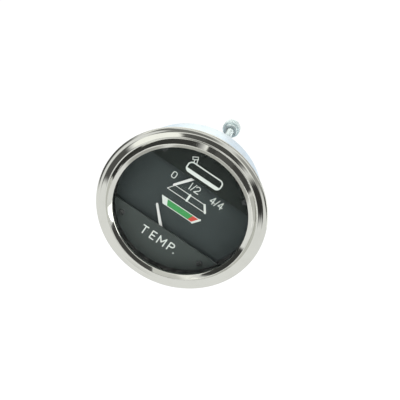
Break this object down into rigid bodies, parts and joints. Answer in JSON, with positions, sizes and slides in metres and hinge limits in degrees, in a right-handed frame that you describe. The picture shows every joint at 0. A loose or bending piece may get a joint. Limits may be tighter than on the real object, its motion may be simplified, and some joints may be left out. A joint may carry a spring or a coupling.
{
  "type": "fuel and temperature gauge",
  "caption": "Round panel gauge with fuel and temperature pointers under one glass, in a flanged can with two rear studs and thumb nuts.",
  "frame": {"origin": "on the gauge's axis, in the plane of the bezel's rear face, where the gauge seats on its panel", "axes": "+Y along the gauge's axis, from the dial to the back; +Z towards the top of the dial; +X to the right of the dial"},
  "size_m": [0.1178, 0.0836, 0.1178],
  "materials": {
    "chrome": "bright chrome plate over pressed steel",
    "glass": "clear flat glass",
    "rubber": "soft black rubber",
    "zinc_plate": "bright zinc plate, pale blue passivated, on drawn steel",
    "black_paint": "matte black paint",
    "dial_black": "matte black dial paint with a green cast",
    "cover_dark": "matte black paint",
    "cover_grey": "matte black paint",
    "white_ink": "screen-printed white ink",
    "green_ink": "screen-printed green ink",
    "red_ink": "screen-printed red ink",
    "steel": "plated steel",
    "black_steel": "blackened steel screw",
    "brass": "turned and stamped brass",
    "pointer_white": "white enamel on thin aluminium",
    "magnet": "sintered magnet",
    "nylon": "natural nylon",
    "copper_wire": "enamelled copper winding",
    "laminate": "brown insulating laminate",
    "black_plastic": "moulded black plastic",
    "bulb_glass": "clear bulb glass",
    "zinc_stud": "zinc-plated steel",
    "spring_steel": "plated spring steel"
  },
  "bodies": {
    "housing": {"bezel": "chrome", "glass": "glass", "glass_gasket": "rubber", "case": "zinc_plate", "spacer_ring": "black_paint", "dial_plate": "dial_black", "dial_print": "white_ink", "green_zone": "green_ink", "red_zone": "red_ink", "upper_cover": "cover_dark", "lower_cover": "cover_grey", "tank_symbol": "white_ink", "temp_legend": "white_ink", "cover_spacers": "steel", "cover_screws": "black_steel", "dial_pillars": "brass", "case_screws": "steel", "fuel_former_front": "nylon", "fuel_former_rear": "nylon", "fuel_inner_coil": "copper_wire", "fuel_outer_coil": "copper_wire", "fuel_shield": "steel", "temp_former_front": "nylon", "temp_former_rear": "nylon", "temp_inner_coil": "copper_wire", "temp_outer_coil": "copper_wire", "temp_shield": "steel", "return_magnets": "magnet", "stop_pins": "brass", "movement_screws": "steel", "shield_screws": "steel", "terminal_strip_outer": "laminate", "terminal_strip_inner": "laminate", "terminal_blades": "brass", "terminal_rivets": "brass", "lamp_holders": "black_plastic", "lamp_contacts": "brass", "lamp_bulbs": "bulb_glass", "mounting_studs": "zinc_stud"},
    "fuel_needle": {"fuel_pointer": "pointer_white", "fuel_spindle": "brass", "fuel_rotor": "magnet"},
    "temp_needle": {"temp_pointer": "pointer_white", "temp_spindle": "brass", "temp_rotor": "magnet"},
    "upper_washer": {"upper_lock_washer": "spring_steel"},
    "upper_nut": {"upper_thumb_nut": "zinc_stud"},
    "lower_washer": {"lower_lock_washer": "spring_steel"},
    "lower_nut": {"lower_thumb_nut": "zinc_stud"}
  },
  "joints": [
    {"name": "fuel_needle_turn", "type": "hinge", "parent": "housing", "child": "fuel_needle", "pos_m": [0, 0.0057, 0.0275], "axis": [0, -1, 0], "range_deg": [0, 72], "stiffness_Nm_per_rad": 0.00005, "springref_deg": -14.32},
    {"name": "temp_needle_turn", "type": "hinge", "parent": "housing", "child": "temp_needle", "pos_m": [0, 0.0057, -0.0275], "axis": [0, 1, 0], "range_deg": [0, 78], "stiffness_Nm_per_rad": 0.00005, "springref_deg": -14.32},
    {"name": "upper_washer_travel", "type": "slide", "parent": "housing", "child": "upper_washer", "axis": [0, 1, 0], "range_m": [-0.008, 0.003]},
    {"name": "upper_nut_turn", "type": "hinge", "parent": "upper_washer", "child": "upper_nut", "pos_m": [0, 0.065, 0.041], "axis": [0, 1, 0], "range_deg": [-3600, 1350]},
    {"name": "lower_washer_travel", "type": "slide", "parent": "housing", "child": "lower_washer", "axis": [0, 1, 0], "range_m": [-0.008, 0.003]},
    {"name": "lower_nut_turn", "type": "hinge", "parent": "lower_washer", "child": "lower_nut", "pos_m": [0, 0.065, -0.041], "axis": [0, 1, 0], "range_deg": [-3600, 1350]}
  ],
  "couplings": [
    {"joint": "upper_nut_turn", "follows": "upper_washer_travel", "rad_per_m": 7854},
    {"joint": "lower_nut_turn", "follows": "lower_washer_travel", "rad_per_m": 7854}
  ]
}
